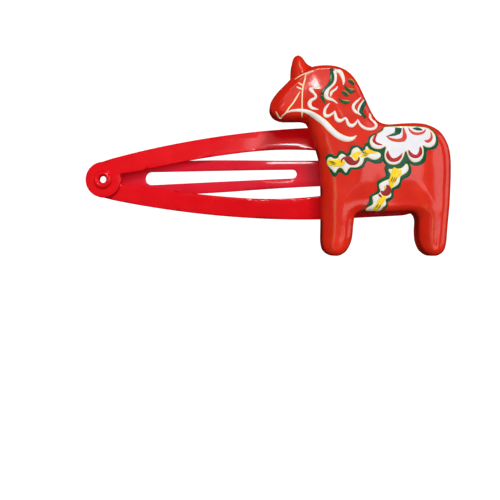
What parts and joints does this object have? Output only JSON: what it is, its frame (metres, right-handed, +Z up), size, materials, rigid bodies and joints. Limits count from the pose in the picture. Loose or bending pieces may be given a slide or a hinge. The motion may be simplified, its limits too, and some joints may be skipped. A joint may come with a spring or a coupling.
{
  "type": "dala horse hair clip",
  "caption": "Flat sprung hair clip with a folk-painted toy horse in profile glued across its wide end.",
  "frame": {"origin": "the hair grip: the point on the clip's long axis half way along the tongue's slot, in the flat sheet's middle plane", "axes": "+X from the horse's nose to its rump and along the clip to its wide end, -Y out of the painted side, +Z up the standing horse"},
  "size_m": [0.0501, 0.0122, 0.0268],
  "materials": {
    "horse_lacquer": "gloss red paint and clear lacquer",
    "glue": "set clear glue, slightly cloudy",
    "clip_enamel": "gloss red enamel"
  },
  "bodies": {
    "root": {"dala_horse": "horse_lacquer", "glue_pad": "glue", "clip_base": "clip_enamel"},
    "arms": {"upper_arm": "clip_enamel", "lower_arm": "clip_enamel", "eyelet_rivet": "clip_enamel"},
    "tongue": {"tongue": "clip_enamel"}
  },
  "joints": [
    {"name": "arms_flex", "type": "hinge", "parent": "root", "child": "arms", "pos_m": [0.01366, 0, 0.00035], "axis": [-0.0253, 0, 0.9997], "range_deg": [0, 18]},
    {"name": "tongue_flex", "type": "hinge", "parent": "root", "child": "tongue", "pos_m": [0.01975, 0, 0.0005], "axis": [-0.0253, 0, 0.9997], "range_deg": [-8, 0]}
  ],
  "couplings": [
    {"joint": "tongue_flex", "follows": "arms_flex", "ratio": -0.4444}
  ]
}
